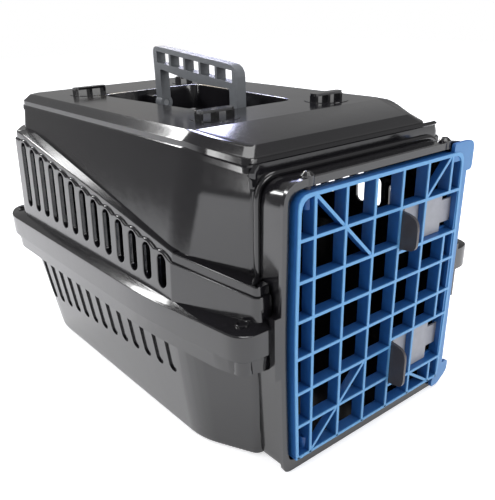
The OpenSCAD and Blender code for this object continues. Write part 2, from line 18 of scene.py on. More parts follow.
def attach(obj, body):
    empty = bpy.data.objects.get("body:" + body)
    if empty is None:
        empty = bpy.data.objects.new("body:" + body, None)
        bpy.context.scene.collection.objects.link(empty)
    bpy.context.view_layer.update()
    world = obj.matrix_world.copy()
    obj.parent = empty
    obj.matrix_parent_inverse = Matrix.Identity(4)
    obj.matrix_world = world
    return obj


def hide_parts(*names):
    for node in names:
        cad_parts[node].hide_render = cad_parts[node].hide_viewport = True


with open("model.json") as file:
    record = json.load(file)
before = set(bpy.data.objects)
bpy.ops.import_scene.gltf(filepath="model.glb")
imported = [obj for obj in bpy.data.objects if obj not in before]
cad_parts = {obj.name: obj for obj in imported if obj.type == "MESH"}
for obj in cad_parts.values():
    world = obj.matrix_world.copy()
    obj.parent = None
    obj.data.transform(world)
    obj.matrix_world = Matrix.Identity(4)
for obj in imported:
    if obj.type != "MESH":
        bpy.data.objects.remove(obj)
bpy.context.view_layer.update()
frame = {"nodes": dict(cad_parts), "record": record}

# %% [markdown]
# ## Measuring from the door
# The frame is in metres from the middle of the carrier. A maker measures in millimetres from a
# face that a rule can be laid on, so the shapes here are worked out from the door's front face.
# One function carries points into the frame, and another reads a mesh back the same way.

# %% Measuring
MM = 0.001
Y_MID = 188.25


def to_frame(points):
    """Millimetres from the door's front face, as metres from the middle of the carrier."""
    return (np.asarray(points, float) - (0, Y_MID, 0)) * MM


def points_of(mesh):
    """All points of a mesh in millimetres from the door's front face, as one array."""
    flat = np.empty(3 * len(mesh.vertices), np.float32)
    mesh.vertices.foreach_get("co", flat)
    return flat.reshape(-1, 3) / MM + (0, Y_MID, 0)


# %% [markdown]
# ## Camera
# The photograph was taken from close by, left of the door and a little above the roof. The camera
# could be aimed at a point, but the picture is slightly turned and is a crop whose optical middle
# lies under its centre. So the view is built from an azimuth, an elevation and a small roll, and
# the lens is shifted.

# %% Camera
VIEW_AZIMUTH = math.radians(-38.71)
VIEW_ELEVATION = math.radians(25.5)
VIEW_ROLL = math.radians(-1.61)
VIEW_PLACE = Vector((-0.3250, -0.4383, 0.3097))
LENS = 44.69
SENSOR = 36
CROP_SHIFT = 0.0905


def view_rotation(azimuth, elevation, roll):
    """Columns are the camera's right, up and back, turned by azimuth and elevation, then rolled."""
    back = Vector((math.sin(azimuth) * math.cos(elevation),
                   -math.cos(azimuth) * math.cos(elevation),
                   math.sin(elevation)))
    right = Vector((math.cos(azimuth), math.sin(azimuth), 0))
    up = back.cross(right)
    rolled_right = math.cos(roll) * right + math.sin(roll) * up
    rolled_up = -math.sin(roll) * right + math.cos(roll) * up
    return Matrix((rolled_right, rolled_up, back)).transposed()


camera = bpy.data.objects.new("camera", bpy.data.cameras.new("camera"))
bpy.context.scene.collection.objects.link(camera)
bpy.context.scene.camera = camera
camera.matrix_world = Matrix.Translation(VIEW_PLACE) @ view_rotation(
    VIEW_AZIMUTH, VIEW_ELEVATION, VIEW_ROLL).to_4x4()
camera.data.sensor_fit = "HORIZONTAL"
camera.data.sensor_width = SENSOR
camera.data.lens = LENS
camera.data.shift_y = CROP_SHIFT
camera.data.clip_start = 0.01
print("camera at", [round(v, 3) for v in VIEW_PLACE])

# %% [markdown]
# ## Nodes and colours
# Colours are written as sRGB codes, as on a paint card, and the shader wants linear light, so one
# function turns them. Another adds a node with its settings, values and links in one line, which
# keeps each material as short as its idea.

# %% Helpers for nodes
def linear(code):
    """Linear RGBA of an sRGB code: c / 12.92 near black, ((c + 0.055) / 1.055) ** 2.4 above."""
    channels = [int(code[i:i + 2], 16) / 255 for i in (1, 3, 5)]
    return [c / 12.92 if c <= 0.04045 else ((c + 0.055) / 1.055) ** 2.4 for c in channels] + [1.0]


def add(tree, kind, settings=None, **inputs):
    """One node with its settings. An input is a name, or _3 for a number; a socket is linked."""
    node = tree.nodes.new("ShaderNode" + kind)
    for name, value in (settings or {}).items():
        setattr(node, name, value)
    for name, value in inputs.items():
        key = int(name[1:]) if name[1:].isdigit() else name.replace("_", " ")
        if isinstance(value, bpy.types.NodeSocket):
            tree.links.new(value, node.inputs[key])
        else:
            node.inputs[key].default_value = value
    return node


# %% [markdown]
# ## Background
# The object stands before white. A brighter world would bleach it, so the world is white only to
# the camera. Mirror rays see a calmer level of the same white, and lighting rays a plain pale
# grey.

# %% World
SKY_LIGHT = 0.5
SKY_MIRROR = 0.32

world = bpy.data.worlds.new("studio")
bpy.context.scene.world = world
world.use_nodes = True
tree = world.node_tree
tree.nodes.clear()
path = add(tree, "LightPath")
mirrored = add(tree, "Math", {"operation": "MAXIMUM"}, _0=path.outputs["Is Glossy Ray"],
               _1=path.outputs["Is Transmission Ray"])
seen = add(tree, "Math", {"operation": "MAXIMUM"}, _0=path.outputs["Is Camera Ray"],
           _1=mirrored.outputs[0])
sky_colour = add(tree, "Mix", {"data_type": "RGBA"}, _0=seen.outputs[0], _6=linear("#f2f4f8"),
                 _7=linear("#ffffff"))
level = add(tree, "MapRange", {}, Value=mirrored.outputs[0], To_Min=SKY_LIGHT, To_Max=SKY_MIRROR)
strength = add(tree, "Math", {"operation": "MAXIMUM"}, _0=path.outputs["Is Camera Ray"],
               _1=level.outputs[0])
sky = add(tree, "Background", {}, Color=sky_colour.outputs[2], Strength=strength.outputs[0])
tree.links.new(sky.outputs[0], add(tree, "OutputWorld").inputs[0])

# %% [markdown]
# ## Lamps
# Glossy black plastic is drawn by what it reflects. Even light would leave it a flat grey, so
# long narrow lamps stand in for the walls of a photographer's tent and give the shells their
# bright streaks. Two small tinted lamps leave the cream and the lavender patch on the roof.

# %% Lamps
LAMPS = [("overhead", (0.3, -0.1, 1.5), (0, 0, 0.1), (0.8, 0.8), 7, "#ffffff"),
         ("rear strip", (-0.4, 1.5, 1.45), (0, 0, 0.15), (4.5, 0.16), 48, "#ffffff"),
         ("left strip", (-1.6, 0.1, 0.9), (0, 0.05, 0.14), (0.1, 1.2), 5, "#ffffff"),
         ("cream card", (0.78, 1.62, 1.12), (-0.08, 0.02, 0.235), (0.22, 0.42), 2.4, "#fff0d8"),
         ("lavender card", (1.08, 1.42, 1.12), (-0.07, 0, 0.235), (0.26, 0.5), 3.2, "#c4c8ff"),
         ("front", (0.45, -1.6, 0.7), (0, 0, 0.12), (0.7, 0.7), 8, "#ffffff")]


def lamp(name, place, target, size, power, colour):
    """A soft lamp of width and height size at place that looks at target."""
    light = bpy.data.lights.new(name, "AREA")
    light.shape = "RECTANGLE"
    light.size, light.size_y = size
    light.energy = power
    light.color = linear(colour)[:3]
    holder = bpy.data.objects.new(name, light)
    bpy.context.scene.collection.objects.link(holder)
    aim = (Vector(target) - Vector(place)).to_track_quat("-Z", "Y")
    holder.matrix_world = Matrix.Translation(place) @ aim.to_matrix().to_4x4()


for row in LAMPS:
    lamp(*row)
bpy.context.scene.view_settings.view_transform = "Standard"
print(len(LAMPS), "lamps")

# %% [markdown]
# ## Outlines of the mouldings
# Seen from above, the cover is a set of outlines: straight runs joined by corner curves, the same
# on both sides. They could be drawn as curve objects, but a corner is then hard to match from one
# height to the next. As arrays, every outline has the same number of points in the same order, so
# outlines at different heights join up into quads.

# %% Outlines
STEPS = 6


def rounded(points, blends, closed=True):
    """Outline whose corner b, between p and q, is (1 - s)^2 p + 2 s (1 - s) b + s^2 q.

    p and q lie on the two sides of the corner, a blend away from it. The parameter is s, from 0 to 1.
    """
    b = np.array(points, float)
    u, v = np.roll(b, 1, 0) - b, np.roll(b, -1, 0) - b
    far_u, far_v = np.linalg.norm(u, axis=1), np.linalg.norm(v, axis=1)
    cut = np.minimum(np.minimum(np.array(blends, float), 0.45 * far_u), 0.45 * far_v)
    p = b + u * (cut / far_u)[:, None]
    q = b + v * (cut / far_v)[:, None]
    s = np.linspace(0, 1, STEPS + 1)[None, :, None]
    curve = (1 - s) ** 2 * p[:, None] + 2 * s * (1 - s) * b[:, None] + s * s * q[:, None]
    if closed:
        return curve.reshape(-1, 2)
    return np.vstack([b[:1], curve[1:-1].reshape(-1, 2), b[-1:]])


def both_sides(half):
    """The right half of an outline, completed to the left."""
    half = np.array(half, float)
    return np.vstack([half, half[::-1] * (-1, 1)])


def twice(blends):
    """The blends of the right half, completed to the left."""
    return list(blends) + list(blends)[::-1]


def resampled(ring, count, closed=True):
    """Points at equal steps of arc length along a ring, from its first point."""
    line = np.vstack([ring, ring[:1]]) if closed else ring
    walk = np.concatenate([[0], np.cumsum(np.linalg.norm(np.diff(line, axis=0), axis=1))])
    at = np.linspace(0, walk[-1], count, endpoint=not closed)
    return np.stack([np.interp(at, walk, line[:, k]) for k in range(line.shape[1])], 1)


def outwards(path):
    """Unit normals on the right of a path that runs from the right front round the rear."""
    run = np.gradient(path, axis=0)
    run /= np.linalg.norm(run, axis=1)[:, None]
    return np.stack([run[:, 1], -run[:, 0]], 1)


def levels(ring, z):
    """A plan ring lifted to height z, which may be one height for each point."""
    return np.column_stack([ring, np.broadcast_to(z, len(ring))])


# %% [markdown]
# ## Skinning
# A moulding is lofted: outlines at rising heights are joined into a grid of quads. Blender has a
# bridge tool for this, but in arrays the corner numbers of all quads come from one sum. The flat
# faces are given the most say in the shading, so that light runs evenly over them and bends only
# at the rounds.

# %% Skinning
def grid_quads(rows, columns, first, closed):
    """Corner numbers of the quads between neighbouring rows; they face columns x rows."""
    row = np.arange(rows - 1)[:, None] * columns
    column = np.arange(columns if closed else columns - 1)[None, :]
    nearer, farther = row + column, row + (column + 1) % columns
    return first + np.stack([nearer, farther, farther + columns, nearer + columns], -1).reshape(-1, 4)


def placed(name, mesh, body):
    """An object at the origin that shows a mesh and rides on a body."""
    piece = bpy.data.objects.new(name, mesh)
    bpy.context.scene.collection.objects.link(piece)
    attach(piece, body)
    return piece


def even_shading(piece):
    """Weighted normals, so that large flat faces stay flat to the eye and sharp edges stay sharp."""
    smooth = piece.modifiers.new("flat faces lead", "WEIGHTED_NORMAL")
    smooth.keep_sharp = True


def skinned(name, grids, angle=32):
    """One piece of the shells from grids of points; edges sharper than angle stay sharp."""
    points, quads, first = [], [], 0
    for grid, closed in grids:
        grid = np.array(grid, float)
        points.append(grid.reshape(-1, 3))
        quads.append(grid_quads(grid.shape[0], grid.shape[1], first, closed))
        first += len(points[-1])
    mesh = bpy.data.meshes.new(name)
    mesh.from_pydata(to_frame(np.concatenate(points)).tolist(), [], np.concatenate(quads).tolist())
    work = bmesh.new()
    work.from_mesh(mesh)
    bmesh.ops.remove_doubles(work, verts=work.verts, dist=0.02 * MM)
    work.to_mesh(mesh)
    work.free()
    mesh.shade_smooth()
    mesh.set_sharp_from_angle(angle=math.radians(angle))
    piece = placed(name, mesh, "carrier")
    even_shading(piece)
    print(name, len(mesh.polygons), "faces")
    return piece


# %% [markdown]
# ## Soft edges
# A moulding never has a knife edge: the tool leaves a round of a few tenths of a millimetre, and
# that round is where glossy plastic shows its brightest line. Rounding in the construction would
# cost thousands of faces, so it is done here. A copy of the construction's mesh is merged,
# triangles that lie flat beside each other are joined, so that no bevel starts inside a flat
# face, and a Bevel modifier cuts the round.

# %% Rounded copies
EDGE_ANGLE = math.radians(28)
FLAT_ANGLE = math.radians(0.3)


def merged(node):
    """A mesh of the node's triangles in which neighbours share their points."""
    work = bmesh.new()
    work.from_mesh(frame["nodes"][node].data)
    bmesh.ops.remove_doubles(work, verts=work.verts, dist=0.002 * MM)
    mesh = bpy.data.meshes.new(node + "_moulded")
    work.to_mesh(mesh)
    work.free()
    return mesh


def join_flat(mesh, lost):
    """Join triangles that lie in one plane, after those that touch a lost point are dropped."""
    corners = np.empty(len(mesh.loops), np.int32)
    mesh.loops.foreach_get("vertex_index", corners)
    gone = np.flatnonzero(lost[corners.reshape(-1, 3)].any(axis=1)).tolist()
    work = bmesh.new()
    work.from_mesh(mesh)
    work.faces.ensure_lookup_table()
    bmesh.ops.delete(work, geom=[work.faces[i] for i in gone], context="FACES")
    bmesh.ops.join_triangles(work, faces=work.faces, angle_face_threshold=FLAT_ANGLE,
                             angle_shape_threshold=math.radians(180))
    work.to_mesh(mesh)
    work.free()


def round_edges(piece, width, segments):
    """A live bevel of width millimetres on every edge sharper than the edge angle."""
    bevel = piece.modifiers.new("edge round", "BEVEL")
    bevel.width = width * MM
    bevel.segments = segments
    bevel.limit_method = "ANGLE"
    bevel.angle_limit = EDGE_ANGLE
    bevel.use_clamp_overlap = True
    bevel.harden_normals = True


def rounded_copy(node, width, moved=None, lost=None):
    """The copy that replaces a node, with its points moved and its faces dropped where asked."""
    mesh = merged(node)
    points = points_of(mesh)
    dropped = lost(points) if lost else np.zeros(len(points), bool)
    if moved:
        mesh.vertices.foreach_set("co", to_frame(moved(points)).astype(np.float32).ravel())
    join_flat(mesh, dropped)
    mesh.shade_smooth()
    mesh.set_sharp_from_angle(angle=EDGE_ANGLE)
    bodies = frame["record"]["behaviour"]["bodies"]
    piece = placed(mesh.name, mesh, next(body for body, nodes in bodies.items() if node in nodes))
    round_edges(piece, width, 2)
    even_shading(piece)
    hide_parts(node)
    print(piece.name, len(mesh.polygons), "faces")
    return piece


# %% [markdown]
# ## Tub, front of the cover, and door
# The tub and the door keep the construction's shape and only gain their rounds. Of the cover,
# only the front is kept: the neck, the frame round the doorway, the hinge lugs and the side
# blocks. What lies behind it is lofted below. The two lugs end in short rounded nubs, so their
# ends are pressed down: the outer edge of each more than the edge of its bore.

# %% Tub, front and door
LUG_X, LUG_Y = 69.5, 8.5
LUG_REACH, BORE_REACH = 8, 3.2
NUB_EDGE, NUB_MIDDLE = 215.6, 217.2
FRONT_DEPTH, FRONT_HALF = 34, 101.5


def behind_front(points):
    """Marks the points of the cover that lie behind its front part or outside it."""
    return (points[:, 1] > FRONT_DEPTH) | (np.abs(points[:, 0]) > FRONT_HALF)


def nubs(points):
    """Lug ends: z = 215.6 at the outer edge and 217.2 at the bore, by distance from the pin's axis."""
    off = np.hypot(np.abs(points[:, 0]) - LUG_X, points[:, 1] - LUG_Y)
    end = (points[:, 2] > 216.5) & (off < LUG_REACH)
    points[end, 2] = np.where(off[end] < BORE_REACH, NUB_MIDDLE, NUB_EDGE)
    return points


lower_shell = rounded_copy("lower_shell", 0.5)
upper_front = rounded_copy("upper_shell", 0.5, moved=nubs, lost=behind_front)
door = rounded_copy("door_grid", 0.45)

# %% [markdown]
# ## Handle
# The handle is one moulding, two legs and a grip with windows, and its grip stands higher at the
# rear. Remaking it for that slope would repeat all its windows. Moving its points is shorter: the
# grip is made 0.8 as tall under a sloped top, and the upper legs are stretched to meet it.

# %% Handle
GRIP_TOP, LEG_TOP, LEG_FOOT = 268, 238, 232
FRONT_LEG, FRONT_TOP, RISE = 156, 264, 0.093
GRIP_SCALE = 0.8


def sloped_grip(points):
    """z = top - 0.8 (268 - z) in the grip, and linear between the legs' foot and the grip's foot."""
    y, z = points[:, 1], points[:, 2]
    top = FRONT_TOP + (y - FRONT_LEG) * RISE
    grip = top - (GRIP_TOP - z) * GRIP_SCALE
    grip_foot = top - (GRIP_TOP - LEG_TOP) * GRIP_SCALE
    leg = LEG_FOOT + (z - LEG_FOOT) * (grip_foot - LEG_FOOT) / (LEG_TOP - LEG_FOOT)
    points[:, 2] = np.where(z > LEG_TOP, grip, np.where(z > LEG_FOOT, leg, z))
    return points


handle = rounded_copy("handle", 1.1, moved=sloped_grip)

# %% [markdown]
# ## Latch blades and strap loops
# Each latch has a thumb blade with a full round along its edge, so it gets the widest round of
# the small parts. Each strap loop stands on a round foot that the construction keeps flush with
# the roof. Two surfaces in one plane flicker in a render, and a real foot shows a raised rim, so
# the foot is lifted by a third of a millimetre.

# %% Blades and loops
FOOT_TOP = 236
FOOT_LIFT = 0.35


def lifted_foot(points):
    """The foot's points, which are all under 236, go up by 0.35."""
    points[:, 2] += np.where(points[:, 2] < FOOT_TOP, FOOT_LIFT, 0)
    return points


tabs = [rounded_copy("latch_tab_" + row, 0.8) for row in ("upper", "lower")]
loops = [rounded_copy("strap_loop_" + corner, 0.5, moved=lifted_foot)
         for corner in ("front_left", "front_right", "rear_left", "rear_right")]

# %% [markdown]
# ## Cover: the ledge
# The cover's wall leans in while the belt under it, which carries the vents, stands almost
# upright. Where they meet, two small steps run down towards the door, and the lower one is
# scalloped over each vent. Both are heights along the side: a line of a few points for the upper
# step, and that line less an arch for the lower one. A height function can be used by every grid
# that meets the ledge.

# %% Heights of the ledge
BELT_FOOT = 123.5
WALL_Z = 135
PITCH = 19.6
CELLS = 13
FIRST_VENT = 91.7
CELL_START = FIRST_VENT - PITCH / 2
CELL_END = CELL_START + CELLS * PITCH
CELL_STEPS = 12
LEDGE_Y = [15, 37, 62, 82, 330, 346, 420]
LEDGE_Z = [148, 151, 155, 160, 204, 205.5, 205.5]


def ledge_top(y):
    """Height of the upper step: a straight fall from the rear, then a shallow run to the front."""
    return np.interp(y, LEDGE_Y, LEDGE_Z)


def scallop_top(y):
    """Height of the lower step: 4 under the upper one, and 2.4 less where |sin| of the cell is 0."""
    arch = np.abs(np.sin(np.pi * (y - CELL_START) / PITCH))
    inside = (y > CELL_START) & (y < CELL_END)
    return ledge_top(y) - 4 - 2.4 * (1 - np.where(inside, arch, 0))


# %% [markdown]
# ## Cover: the plan of the belt
# The belt is one strip that runs from the right of the door round the rear to the left. Its plan
# has a point at every column of quads of every vent cell, so that the plain parts, the ledge and
# the cells meet point to point and no gap can show.

# %% Plan of the belt
BELT_HALF = 127
BELT_REAR = 382
BELT_LEAN = 0.05


def belt_path():
    """Plan of the belt at the height of its foot, open towards the door, with each cell's stations."""
    right = rounded([[93, 15], [105, 15], [BELT_HALF, 80], [BELT_HALF, CELL_START]], [0, 9, 14, 0],
                    closed=False)
    stations = np.linspace(CELL_START, CELL_END, CELLS * CELL_STEPS + 1)
    cells = np.column_stack([np.full(len(stations), BELT_HALF), stations])
    turn = rounded([[BELT_HALF, CELL_END], [BELT_HALF, BELT_REAR - 34], [BELT_HALF - 21, BELT_REAR],
                    [0, BELT_REAR]], [0, 12, 14, 0], closed=False)
    path = np.vstack([right[:-1], cells, turn[1:]])
    return np.vstack([path, path[:-1][::-1] * (-1, 1)])


belt_plan = belt_path()
belt_normal = outwards(belt_plan)


def belt_points(depth, z):
    """The belt's plan moved inwards by depth and by its lean, 0.05 for each millimetre of height."""
    inward = np.asarray(depth + BELT_LEAN * (np.asarray(z, float) - WALL_Z)) * np.ones(len(belt_plan))
    return levels(belt_plan - belt_normal * inward[:, None], z)


# %% [markdown]
# ## Cover: the vents
# Each vent is a tall slot with round ends and a soft lip. Slots can be cut with a boolean, which
# leaves long thin faces that shade badly on a glossy wall. Here each vent is a cell of its own:
# rings of quads that start inside the reveal, turn over the lip and widen into the cell's oblong
# border.

# %% Vent cells
VENT_RADIUS = 5.25
VENT_FOOT = 131
VENT_FOOT_RISE = 0.026
LIP = [(0, 3), (0, 0.7), (0.2, 0.2), (0.7, 0), (1.1, 0)]
SIDE_STEPS = 5


def slot_ring(mid, low, high, radius):
    """Two half circles and two straight sides about mid, clockwise as seen from the right."""
    top = np.linspace(np.pi, 0, CELL_STEPS + 1)
    bottom = np.linspace(0, -np.pi, CELL_STEPS + 1)
    rise = np.linspace(0, 1, SIDE_STEPS + 2)[1:-1]
    side = np.ones(SIDE_STEPS)
    return np.vstack([
        np.column_stack([mid + radius * np.cos(top), high + radius * np.sin(top)]),
        np.column_stack([side * (mid + radius), high + (low - high) * rise]),
        np.column_stack([mid + radius * np.cos(bottom), low + radius * np.sin(bottom)]),
        np.column_stack([side * (mid - radius), low + (high - low) * rise])])


def cell_border(mid):
    """The cell's border in the same order: under the scallop, down, along the foot and up."""
    across = np.linspace(mid - PITCH / 2, mid + PITCH / 2, CELL_STEPS + 1)
    edge = scallop_top(across) - 1
    rise = np.linspace(0, 1, SIDE_STEPS + 2)[1:-1]
    side = np.ones(SIDE_STEPS)
    return np.vstack([
        np.column_stack([across, edge]),
        np.column_stack([side * across[-1], edge[-1] + (BELT_FOOT - edge[-1]) * rise]),
        np.column_stack([across[::-1], np.full(CELL_STEPS + 1, BELT_FOOT)]),
        np.column_stack([side * across[0], BELT_FOOT + (edge[0] - BELT_FOOT) * rise])])


def vent_cell(i, side):
    """Grid of one vent; x = 127 - depth - 0.05 (z - 135), and the left side runs the other way."""
    mid = CELL_START + (i + 0.5) * PITCH
    low = VENT_FOOT + VENT_FOOT_RISE * (mid - FIRST_VENT) + VENT_RADIUS
    high = scallop_top(mid) - 2.2 - VENT_RADIUS
    rings = [(slot_ring(mid, low, high, VENT_RADIUS + grow), depth) for grow, depth in LIP]
    rings.append((cell_border(mid), 0))
    grid = [np.column_stack([side * (BELT_HALF - depth - BELT_LEAN * (ring[:, 1] - WALL_Z)), ring])
            for ring, depth in rings]
    return np.array([ring[::side] for ring in grid]), True


# %% [markdown]
# ## Cover: the belt in one piece
# The ledge is a profile of eight points, carried along the belt's plan: up to the lower step,
# over its round, up to the upper step and in under the wall. Under it, the belt is plain where it
# has no vents.

# %% Belt
def belt_grids():
    """Plain parts of the belt, the two steps of its ledge and all vent cells."""
    y = belt_plan[:, 1]
    lower, upper = scallop_top(y), ledge_top(y)
    steps = [(0, lower - 1), (0.3, lower - 0.3), (1, lower), (1.9, lower + 0.05),
             (1.9, upper - 1), (2.2, upper - 0.3), (2.9, upper), (16, upper + 0.3)]
    shelf = np.array([belt_points(depth, z) for depth, z in steps])
    plain = np.array([belt_points(0, np.full(len(y), BELT_FOOT)), belt_points(0, lower - 1)])
    front = np.flatnonzero(y > CELL_START - 0.01)[0] + 1
    rear = front + CELLS * CELL_STEPS - 1
    parts = [(shelf, False), (plain[:, :front], False), (plain[:, rear:len(y) - rear], False),
             (plain[:, len(y) - front:], False)]
    return parts + [vent_cell(i, side) for side in (1, -1) for i in range(CELLS)]


belt = skinned("vent_belt", belt_grids())

# %% [markdown]
# ## Cover: rim
# The cover ends in an upright skirt that hides the joint with the tub. Its top edge is rounded,
# and a nearly flat shelf runs from there in to the belt's foot. The skirt's plan and the belt's
# differ, so a plain offset would miss the belt. Each column of quads ends at the nearest point of
# the belt instead.

# %% Rim
RIM_FOOT = 103.3
RIM_STEPS = [(2.5, RIM_FOOT), (0.5, RIM_FOOT), (0, RIM_FOOT + 0.5), (0, 120.8), (0.35, 121.7),
             (1.2, 122.2), (2.2, 122.35)]
RIM_COLUMNS = 320


def rim_path():
    """Plan of the rim, open towards the door."""
    right = rounded([[93, 8], [124.5, 8], [136, 110], [136, 250], [136, 364], [122, 390], [0, 390]],
                    [0, 34, 30, 1, 12, 12, 0], closed=False)
    path = np.vstack([right, right[:-1][::-1] * (-1, 1)])
    return resampled(path, RIM_COLUMNS, closed=False)


def rim_grid():
    """Skirt from its inner foot over the rounded edge to the nearest point of the belt."""
    plan = rim_path()
    normal = outwards(plan)
    nearest = np.argmin(np.linalg.norm(plan[:, None] - belt_plan[None], axis=2), axis=1)
    rows = [levels(plan - normal * depth, z) for depth, z in RIM_STEPS]
    foot = belt_plan[nearest]
    rows.append(levels(foot + 0.1 * (plan - foot), 124.6))
    rows.append(levels(foot - belt_normal[nearest] * 1.5, 124.8))
    return np.array(rows), False


rim = skinned("rim", [rim_grid()])

# %% [markdown]
# ## Small round parts
# Each rim screw sits in a shallow round well with a soft lip, and each hinge lug of the door ends
# in a small dome over its pin. Both could be bevelled cylinders, but a profile turned about an
# upright axis, as on a lathe, gives the lip and the dome in one go.

# %% Screw wells and hinge caps
SCREWS = [(112, 22), (121, 369)]
WELL = [(4.6, 122.6), (4.6, 124.8), (4.3, 125.1), (3.7, 125.1), (3.4, 124.8), (3.4, 123.6),
        (0.05, 123.6)]
CAP = [(2.7, 216.8), (2.5, 217.3), (1.6, 217.8), (0.05, 218)]


def turned(centre, profile, turns=28):
    """Grid of a profile of (radius, height) turned about an upright axis at centre."""
    around = np.linspace(0, 2 * np.pi, turns, endpoint=False)
    circle = np.column_stack([np.cos(around), np.sin(around)])
    return np.array([levels(np.array(centre) + r * circle, z) for r, z in profile]), True


wells = skinned("screw_wells", [turned((side * x, y), WELL) for side in (1, -1) for x, y in SCREWS])
caps = skinned("hinge_caps", [turned((side * LUG_X, LUG_Y), CAP) for side in (1, -1)])

# %% [markdown]
# ## Cover: leaning wall and roof's edge
# The wall's rings lean in towards the roof, the sides more than the rear, and their rear corners
# tighten on the way up. At the roof they turn over two thin ledges and a soft shoulder, and sag
# towards the neck, where the roof runs down in one broad slope to the door. Each of these is one
# change to a ring, so a ring for any height comes from one function.

# %% Wall rings
ROOF = 235
WALL_TOP = 205
WALL_REAR = 380
SIDE_LEAN, REAR_LEAN = 0.247, 0.07
LEAN_END = 226
SAG, SAG_END, SAG_LENGTH = 7, 84, 42.5


def wall_ring(z, grow=0, front_half=93.5, front_y=31, closed=False):
    """Plan at height z: the side leans 0.247, the rear 0.07, and the corner's cut falls by 0.25."""
    half = BELT_HALF - (z - WALL_Z) * SIDE_LEAN
    rear = WALL_REAR - (z - WALL_Z) * REAR_LEAN
    cut = 12 + (LEAN_END - z) * 0.25
    side = [[front_half + grow, front_y - grow], [half + grow, 80], [half + grow, rear - cut],
            [half - 0.62 * cut + grow, rear + grow]]
    if closed:
        return rounded(both_sides(side), twice([5, 14, 12, 8]))
    return rounded(both_sides([[88, front_y - grow]] + side), twice([0, 5, 14, 12, 8]), closed=False)


def sagged(ring, rise):
    """A ring at rise above the roof's height, lowered by up to 7 towards the neck."""
    drop = SAG * np.clip((SAG_END - ring[:, 1]) / SAG_LENGTH, 0, 1)
    return levels(ring, ROOF + rise - drop)


# %% Grids of the wall and the roof's edge
# Each row: height over the roof, growth outwards, half width at the neck, and where the neck begins.
ROOF_RINGS = [(-13.4, 0, 91.5, 36), (-13, 1, 91.5, 36.5), (-9.8, 1, 90.5, 38.5),
              (-9.2, 0.1, 89.5, 39.5), (-5.6, 0, 88.5, 40.5), (-5, -1, 87.5, 41),
              (-1.6, -5.6, 86.8, 41.3), (-0.7, -6.8, 86.5, 41.5)]
LIP_RISE, LIP_GROW, LIP_HALF, LIP_FRONT = ROOF_RINGS[0]


def wall_grid():
    """Rows from under the ledge to the roof's edge, on a straight line between two rings."""
    low, high = wall_ring(WALL_Z), wall_ring(WALL_TOP)
    foot = ledge_top(low[:, 1]) - 0.6
    heights = [foot + t * (WALL_TOP - foot) for t in np.linspace(0, 1, 8)]
    rows = [levels(low + (high - low) * ((z - WALL_Z) / (WALL_TOP - WALL_Z))[:, None], z)
            for z in heights]
    rows.append(sagged(wall_ring(ROOF + LIP_RISE, LIP_GROW, LIP_HALF, LIP_FRONT), LIP_RISE))
    return np.array(rows), False


def edge_grid(top):
    """Closed rings of the two ledges and the shoulder, up to the outline of the flat roof."""
    rows = [sagged(wall_ring(min(ROOF + rise, LEAN_END), grow, half, front, closed=True), rise)
            for rise, grow, half, front in ROOF_RINGS]
    rows.append(levels(top, ROOF))
    return np.array(rows), True


def apron_grid():
    """The short upright strip between the neck's top and the roof's edge."""
    rows = np.array([[[x, 30.5, z] for x in (-94, 94)] for z in (208, 212, 214.6)])
    rows[2, :, 1] = LIP_FRONT
    return rows, False


# %% [markdown]
# ## Cover: flat roof and recess
# The roof is a flat plate with an opening, and the recess for the handle is a tray that widens to
# the rear. The plate, the lip, the tray's wall and its floor are rings about one middle. They
# have to start at the same place and have as many points, so each is turned to start near x = 60
# at the front and is then measured off in 180 equal steps.

# %% Roof plate
ROOF_POINTS = 180
RECESS_MIDDLE = np.array([0, 218])
# Each row: growth outwards of the recess's outline, and height.
RECESS_RINGS = [(1.4, ROOF), (0.5, ROOF - 0.35), (0, ROOF - 1.3), (-2, 212), (-3.2, 211)]


def recess_ring(grow):
    """Plan of the recess, 84 wide at the front and 108 at the rear, moved outwards by grow."""
    return rounded(both_sides([[42 + grow, 139 - grow], [54 + grow, 297 + grow]]),
                   twice([14 + grow, 14 + grow]))


def aligned(ring):
    """The ring turned to start near x = 60 at the front, in equal steps."""
    start = np.argmin(np.hypot(ring[:, 0] - 60, ring[:, 1]))
    return resampled(np.roll(ring, -start, 0), ROOF_POINTS)


def roof_plate(top):
    """Flat ring between the roof's edge and the recess, then the recess's lip, wall and floor."""
    rows = [levels(aligned(top), ROOF)]
    rows += [levels(aligned(recess_ring(grow)), z) for grow, z in RECESS_RINGS]
    floor_grow, floor_z = RECESS_RINGS[-1]
    small = RECESS_MIDDLE + (aligned(recess_ring(floor_grow)) - RECESS_MIDDLE) * 0.02
    rows.append(levels(small, floor_z))
    return np.array(rows), True


roof_top = rounded(both_sides([[93, 88], [96.5, 96], [96.5, 352], [90, 364.5]]), twice([4, 4, 8, 6]))
cover = skinned("cover_wall_and_roof", [wall_grid(), edge_grid(roof_top), apron_grid(),
                                        roof_plate(roof_top)], angle=24)

# %% [markdown]
# ## Pivot blocks and the foot of the door
# Two blocks stand in the ends of the recess and carry the handle's pins, and a thin bar runs
# along the foot of the door. All three are straight bars with rounded edges. A grid would be
# wasted on six flat faces, so they are boxes under a Bevel modifier.

# %% Blocks
BOX_QUADS = [(0, 2, 3, 1), (4, 5, 7, 6), (0, 1, 5, 4), (2, 6, 7, 3), (0, 4, 6, 2), (1, 3, 7, 5)]


def block(name, low, high, width, body="carrier"):
    """A box between two corners, low + (x, y, z)(high - low), with rounded edges."""
    low, high = np.array(low, float), np.array(high, float)
    corners = np.array([[x, y, z] for z in (0, 1) for y in (0, 1) for x in (0, 1)])
    mesh = bpy.data.meshes.new(name)
    mesh.from_pydata(to_frame(low + corners * (high - low)).tolist(), [], BOX_QUADS)
    mesh.shade_smooth()
    piece = placed(name, mesh, body)
    round_edges(piece, width, 3)
    return piece


